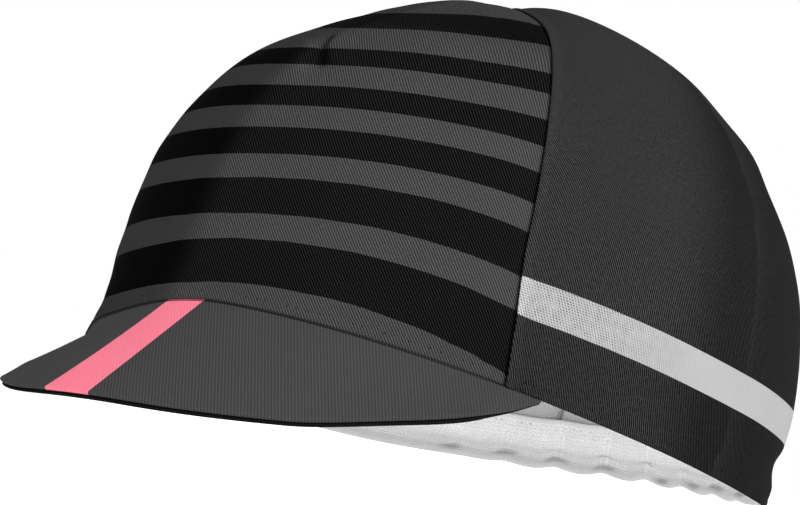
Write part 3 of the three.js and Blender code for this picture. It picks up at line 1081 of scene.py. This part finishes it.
def peak_cloth(name, base_grey, with_stripe):
    n = material(name)
    cloth = n.attribute("cloth", "Vector")
    weave = twill(n, cloth, 0, RIB_PITCH, 0.15)
    base = grey(base_grey)
    if with_stripe:
        weave = n.times(weave, faded(n, "beyond", 0, 1, 0.18))
        pink = n.math("GREATER_THAN", n.attribute("pink"), 0)
        base = n.mix(pink, base, colour(*STRIPE_PINK))
    # Painted shade at the peak's root
    base = n.scale(base, faded(n, "crease", 0.2, 1, 0.15))
    return finish_cloth(n, base, weave, 0.8, cloth, 0.25)


def band_knit():
    n = material("knitted_band")
    cloth = n.attribute("cloth", "Vector")
    x, y, _ = n.split(cloth)
    wobble = n.noise(cloth, 0.5, 2)
    zig = n.math("PINGPONG", n.math("DIVIDE", x, KNIT_WALE), 0.5)
    rows = n.math("ADD", n.math("DIVIDE", y, KNIT_PITCH), n.times(zig, 1.1, wobble))
    chevron = n.wave(rows)
    loops = n.wave(n.times(wobble, 0.8, n.math("DIVIDE", x, KNIT_WALE / 2)))
    knit = n.times(loops, 0.45, n.times(chevron, 0.55))
    knit = n.times(n.noise(cloth, 1.3, 3), 0.9, n.math("SUBTRACT", knit, 0.3))
    bold = n.times(n.noise(cloth, 0.12, 2), 1.4, 0.1)
    knit = n.times(knit, bold)
    plain = n.attribute("plain")
    knit = n.times(knit, n.math("SUBTRACT", 1, n.times(plain, 0.75)))
    patch = n.noise(cloth, 0.08, 3)
    shade = n.times(knit, 0.26, 0.81)
    shade = n.times(shade, n.times(patch, 0.1, 0.95))
    # Painted shade in the sweatband's soft folds
    shade = n.times(shade, faded(n, "fold", 0, 1, 0.6))
    values = {"Base Color": n.scale(grey(KNIT_WHITE), shade), "Normal": n.bump(knit, 0.7, KNIT_DEPTH)}
    return n.finish(values | {"Roughness": 0.95, "Sheen Weight": 0.1})


def thread(name, value):
    n = material(name)
    place = n.add("ShaderNodeTexCoord").outputs["Object"]
    twist = n.noise(place, 2500, 2)
    base = n.scale(grey(value), n.times(twist, 0.6, 0.7))
    values = {"Base Color": base, "Normal": n.bump(twist, 0.5, WEAVE_DEPTH)}
    return n.finish(values | {"Roughness": 1, "Specular IOR Level": 0})


STRIPED = striped_cloth()
LINING = lining_cloth()
SIDE_LEFT = side_cloth("plain_cotton_left")
SIDE_RIGHT = side_cloth("plain_cotton_right")
BACK_CLOTH = side_cloth("plain_cotton_back")


# The crown


def right_front_seam(share):
    return -front_seam(share)


def right_back_seam(share):
    return -back_seam(share)


def far_back_seam(share):
    return 360 - back_seam(share)


PANELS = [
    # label, start, end, columns, rows, roll, cloth, extra, lap
    ("front", right_front_seam, front_seam, 118, FRONT_ROWS, front_roll, STRIPED, stripe_field, SEAM_LAP),
    ("left", front_seam, back_seam, 120, ROW_SHARES, side_roll, SIDE_LEFT, band_from_start, 0),
    ("right", right_back_seam, right_front_seam, 120, ROW_SHARES, side_roll, SIDE_RIGHT, band_from_end, 0),
    ("back", back_seam, far_back_seam, 96, ROW_SHARES, under_fold, BACK_CLOTH, band_across, SEAM_LAP),
]
panels = {}
grids = {}
for label, *how in PANELS:
    panels[label], grids[label] = crown_panel(label + "_panel_cloth", *how)


# The sweatband


def make_sweatband():
    angles = np.linspace(-10, 350, BAND_COLUMNS, endpoint=False)[None, :]
    heights = BAND_STEPS[:, None]
    squeezed = heights * (SWEATBAND_HEIGHT - SWEATBAND_BELOW_HEM) / SWEATBAND_HEIGHT
    shares = share_at_height(squeezed) + 0 * angles
    grid = angles + 0 * heights
    p = crown_outer(grid, shares)
    elastic = elastic_share(grid)
    tucked = SWEATBAND_TUCK * bump(wrapped(grid - TUCK_ANGLE), TUCK_SPREAD)
    hanging = SWEATBAND_BELOW_HEM + BAND_HANG * elastic
    p[..., 2] += (tucked - hanging) * clamp01(1 - heights / 4)
    normal = grid_normals(p, ring=True)
    crease = 0.5 - gather_lobe(grid)
    puff = 0.3 * bump(heights - 1.2, 1.3) + hills(BAND_PROFILE, heights)
    puff = puff + 0.5 * hill(heights - 7, 4.0) * elastic
    puff = puff + 0.9 * elastic * crease**2 * hill(heights - 3.2, 1.6)
    puff = puff + 0.25 * ripple(grid / 3.1, heights / 3, 11) * elastic
    fold = np.zeros(grid.shape)
    for place, high in BAND_FOLDS:
        slant = wrapped(grid - place) + 0.8 * (heights - high)
        fold = np.maximum(fold, hill(slant, 2.1) * hill(heights - high, 0.9))
    puff = puff - 0.6 * fold
    outer_depth = CLOTH_WALL + PIECE_GAP
    edge = np.minimum(heights, heights[-1] - heights) + 0 * grid
    half = SWEATBAND_WALL / 2
    fall = np.minimum(rounded(edge, half), half - EDGE_HALF_WALL)
    inner_depth = outer_depth + SWEATBAND_WALL - fall + puff * (1 - fall / half)
    outer = p - normal * (outer_depth + fall)[..., None]
    inner = p - normal * inner_depth[..., None]
    along = np.linalg.norm(np.diff(np.concatenate([p, p[:, :1]], 1), axis=1), axis=-1)
    a = np.hstack([np.zeros((len(p), 1)), np.cumsum(along, 1)[:, :-1]])
    cloth = np.stack([np.broadcast_to(a[12:13], a.shape), heights + 0 * a, 0 * a], -1)
    plain = np.clip(bump(heights - 0.9, 1.8) + bump(heights - 14, 1.6), 0, 1) + 0 * a
    fields = [("cloth", cloth), ("plain", plain), ("fold", fold)]
    made = cloth_piece("sweatband_knit", outer, inner, fields, [band_knit()], ring=True)
    return made, p, normal


sweatband, band_points, band_normals = make_sweatband()


# The peak


def mirrored_rows(table):
    left = table[1:][::-1] * np.array([-1, 1, 1])
    return np.vstack([left, table])


PEAK_CURVE = mirrored_rows(PEAK_OUTLINE)
PEAK_DENSE = spline(PEAK_CURVE, DENSE)


def at_place(across, place):
    return bump(across - place[0], place[1])


def peak_surface(across, out):
    across, out = np.broadcast_arrays(np.asarray(across, float), np.asarray(out, float))
    angle = across * PEAK_ROOT_ANGLE
    root = smooth_crown(angle, 0 * angle)
    reach = PEAK_REACH * np.interp(across, PEAK_DENSE[:, 0], PEAK_DENSE[:, 1]) * out
    reach = reach * (1 - 0.35 * (1 - fade_out(np.abs(across), 0.86, 1)))
    reach = reach + PEAK_TIP_REACH * at_place(across, TIP_REACH_PLACE) * out
    drop = PEAK_DROP * np.interp(across, PEAK_DENSE[:, 0], PEAK_DENSE[:, 2]) * out
    drop = drop * (1 - PEAK_LEFT_LIFT * at_place(across, LEFT_LIFT_PLACE))
    hollow = np.maximum(1 - out / 0.72, 0) * (1 - np.exp(-out / 0.04)) * (out > 0)
    drop = drop + PEAK_RIGHT_HOLLOW * at_place(across, RIGHT_HOLLOW_PLACE) * hollow
    drop = drop + PEAK_TIP_DROP * at_place(across, TIP_DROP_PLACE) * out
    straightened = hem_wave(angle) * (1 - PEAK_EDGE_WAVE_SHARE) * out
    heading = angle * PEAK_FAN * DEGREE
    return np.stack(
        [
            root[..., 0] + reach * np.sin(heading),
            root[..., 1] - reach * np.cos(heading),
            root[..., 2] - PEAK_ROOT_GAP - drop + straightened,
        ],
        -1,
    )


def peak_layer(name, upper, wall, proud, cotton):
    """One layer of the peak, at a depth under its upper surface. proud sets its edge further out."""
    across = np.linspace(-PEAK_END_SHARE, PEAK_END_SHARE, PEAK_COLUMNS)[None, :]
    length = PEAK_STEPS[-1]
    out = (PEAK_STEPS / length)[::-1, None]
    p = peak_surface(across, out)
    normal = grid_normals(p)
    outward = unit(p - peak_surface(across, out - 0.01))
    p = p + outward * (proud * np.maximum(out, 0) ** 8)[..., None]
    ends = fade_out(np.abs(across), 0.8, PEAK_END_SHARE)
    tip_wall = 1 - 0.35 * at_place(across, THIN_TIP_PLACE) * (upper > 0)
    thinned = 0.35 + 0.65 * ends
    thick = wall * tip_wall * thinned + 0 * out
    deep = upper * thinned + 0 * out
    edge = (1 - out) * length + 0 * across
    fall = np.minimum(rounded(edge, thick / 2), thick / 2 - EDGE_HALF_WALL)
    outer = p - normal * (deep + fall)[..., None]
    inner = p - normal * (deep + thick - fall)[..., None]
    left_edge = PINK_LEFT - PINK_LEFT_WIDENS * out**2
    right_edge = PINK_RIGHT - out
    pink = np.minimum(p[..., 0] - left_edge, right_edge - p[..., 0])
    cloth = np.stack([p @ RIB_ACROSS, p @ RIB_ALONG, 0 * pink], -1)
    # Painted shade in the crevice at the peak's root, fainter towards the wearer's right
    crease = hill(out * length, 0.45) * (1 - 0.8 * (1 - fade_out(-across, 0.3, 0.6)))
    beyond = clamp01((right_edge + 1 - p[..., 0]) / 2)
    fields = [("cloth", cloth), ("pink", pink), ("crease", crease), ("beyond", beyond)]
    return cloth_piece(name, outer, inner, fields, [cotton])


peak_cotton = peak_cloth("peak_cotton", PEAK_GREY, True)
peak_lining = peak_cloth("peak_lining", UNDER_GREY, False)
under_depth = PEAK_TOP_WALL + PIECE_GAP
peak_top = peak_layer("peak_top_cloth", 0, PEAK_TOP_WALL, 0, peak_cotton)
peak_under = peak_layer("peak_underside_cloth", under_depth, PEAK_UNDER_WALL, 0.1, peak_lining)


# Stitching


def along_line(size, values, place):
    return np.array([np.interp(place, size, values[:, k]) for k in range(3)])


def stitch_row(name, points, normals, thread_material):
    """Short threads laid along a line of surface points, a little uneven."""
    size = np.r_[0, np.cumsum(np.linalg.norm(np.diff(points, axis=0), axis=1))]
    rng = np.random.default_rng(len(points))
    starts = np.arange(STITCH_PITCH / 2, size[-1] - STITCH_LENGTH - STITCH_PITCH, STITCH_PITCH)
    starts = starts[rng.uniform(0, 1, len(starts)) < STITCH_SHOWN]
    starts = starts + rng.uniform(-0.5, 0.5, len(starts))
    sides = STITCH_SIDES
    all_points = []
    all_faces = []
    for start in starts:
        base = len(all_points)
        for t, wide, lift in STITCH_RINGS:
            s = start + t * STITCH_LENGTH
            c = along_line(size, points, s)
            up = unit(along_line(size, normals, s))
            side = unit(np.cross(up, along_line(size, points, s + 0.1) - c))
            c = c + up * (STITCH_RADIUS * lift - STITCH_SINK)
            for k in range(sides):
                turn = 2 * math.pi * k / sides
                ring = math.cos(turn) * side + 0.8 * math.sin(turn) * up
                all_points.append(c + STITCH_RADIUS * wide * ring)
        for r in range(len(STITCH_RINGS) - 1):
            for k in range(sides):
                a = base + r * sides + k
                b = base + r * sides + (k + 1) % sides
                all_faces.append((a, a + sides, b + sides, b))
        last = base + (len(STITCH_RINGS) - 1) * sides
        for k in range(1, sides - 2, 2):
            all_faces.append((base, base + k, base + k + 1, base + k + 2))
        for k in range(1, sides - 2, 2):
            all_faces.append((last, last + k + 2, last + k + 1, last + k))
    return make_mesh(name, np.array(all_points), np.array(all_faces), [], [thread_material])


def line_on(grid, height):
    """The points and normals of a panel's surface along one height."""
    heights = grid["height"][:, 0]
    points = grid["points"]
    normal = grid_normals(points)
    i = int(np.searchsorted(heights, height))
    w = (height - heights[i - 1]) / (heights[i] - heights[i - 1])
    p = points[i - 1] * (1 - w) + points[i] * w
    return p[4:-4], unit(normal[i - 1] * (1 - w) + normal[i] * w)[4:-4]


DARK_THREAD = thread("dark_thread", DARK_THREAD_GREY)
PALE_THREAD = thread("pale_thread", PALE_THREAD_GREY)

stitches = []
for label, grid in grids.items():
    row = stitch_row(label + "_hem_stitches", *line_on(grid, HEM_STITCH_HEIGHT), DARK_THREAD)
    stitches.append((row, label + "_panel"))

band_face = band_points - band_normals * (CLOTH_WALL + PIECE_GAP + SWEATBAND_WALL)
around = np.r_[np.arange(BAND_COLUMNS), 0]
inside_line = band_face[BAND_STITCH_ROW, around]
inside_up = -band_normals[BAND_STITCH_ROW, around]
inside = stitch_row("sweatband_stitches", inside_line, inside_up, PALE_THREAD)
stitches.append((inside, "sweatband"))


# Pieces stand for their solids

for piece, node in (
    (panels["front"], "front_panel"),
    (panels["left"], "left_panel"),
    (panels["right"], "right_panel"),
    (panels["back"], "back_panel"),
    (sweatband, "sweatband"),
    (peak_top, "peak_top"),
    (peak_under, "peak_underside"),
):
    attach(piece, "root")
    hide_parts(node)
for piece, slot in stitches:
    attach(piece, "root")


# Camera, light and floor


def place_camera():
    a, e, r = CAMERA_AZIMUTH * DEGREE, CAMERA_ELEVATION * DEGREE, CAMERA_ROLL * DEGREE
    back = np.array((math.sin(a) * math.cos(e), -math.cos(a) * math.cos(e), math.sin(e)))
    right = np.array((math.cos(a), math.sin(a), 0))
    up = np.cross(back, right)
    side = math.cos(r) * right + math.sin(r) * up
    above = -math.sin(r) * right + math.cos(r) * up
    eye = CAMERA_DISTANCE * back + CAMERA_SIDEWAYS * side + CAMERA_UP * above
    data = bpy.data.cameras.new("camera")
    data.sensor_width = SENSOR_WIDTH
    data.lens = CAMERA_DISTANCE * PIXELS_PER_MM * SENSOR_WIDTH / PICTURE_WIDTH
    data.clip_start = 0.01
    camera = bpy.data.objects.new("camera", data)
    columns = (turned(side), turned(above), turned(back), to_row(eye))
    rows = [tuple(float(v) for v in row) for row in zip(*columns)]
    camera.matrix_world = Matrix(rows + [(0, 0, 0, 1)])
    bpy.context.scene.collection.objects.link(camera)
    bpy.context.scene.camera = camera


def area_light(name, place, target, width, power, seen):
    data = bpy.data.lights.new(name, "AREA")
    data.shape = "DISK"
    data.size = width
    data.energy = power
    light = bpy.data.objects.new(name, data)
    light.location = place
    light.visible_camera = seen
    light.rotation_euler = (Vector(target) - Vector(place)).to_track_quat("-Z", "Y").to_euler()
    bpy.context.scene.collection.objects.link(light)


def make_floor():
    data = bpy.data.meshes.new("floor")
    far = FLOOR_HALF_WIDTH
    corners = [(-far, -far, 0), (far, -far, 0), (far, far, 0), (-far, far, 0)]
    data.from_pydata(corners, [], [(0, 1, 2, 3)])
    n = material("pale_floor")
    seen = n.add("ShaderNodeLightPath").outputs["Is Camera Ray"]
    values = {"Base Color": (0.75, 0.75, 0.75, 1), "Roughness": 1, "Specular IOR Level": 0}
    glow = {"Emission Color": (1, 1, 1, 1), "Emission Strength": n.times(seen, 0.6, 0.5)}
    data.materials.append(n.finish(values | glow))
    floor = bpy.data.objects.new("floor", data)
    bpy.context.scene.collection.objects.link(floor)


place_camera()
for light in LIGHTS:
    area_light(*light)
make_floor()


def make_world():
    """A white studio, dimmer on one side. The lens sees it as full white."""
    n = Nodes(bpy.data.worlds.new("studio"), "Background")
    dot = n.add("ShaderNodeVectorMath", operation="DOT_PRODUCT")
    n.put(n.add("ShaderNodeTexCoord").outputs["Generated"], dot.inputs[0])
    n.put(BRIGHT_SIDE, dot.inputs[1])
    dimmest = STUDIO_LIGHT * (1 - STUDIO_SLOPE)
    brightest = STUDIO_LIGHT * (1 + STUDIO_SLOPE)
    lit = mapped(n, dot.outputs["Value"], -1, 1, dimmest, brightest)
    seen = n.add("ShaderNodeLightPath").outputs["Is Camera Ray"]
    strength = mapped(n, seen, 0, 1, lit, 1)
    bpy.context.scene.world = n.finish({"Color": (1, 1, 1, 1), "Strength": strength})


make_world()
bpy.context.scene.view_settings.view_transform = "Standard"
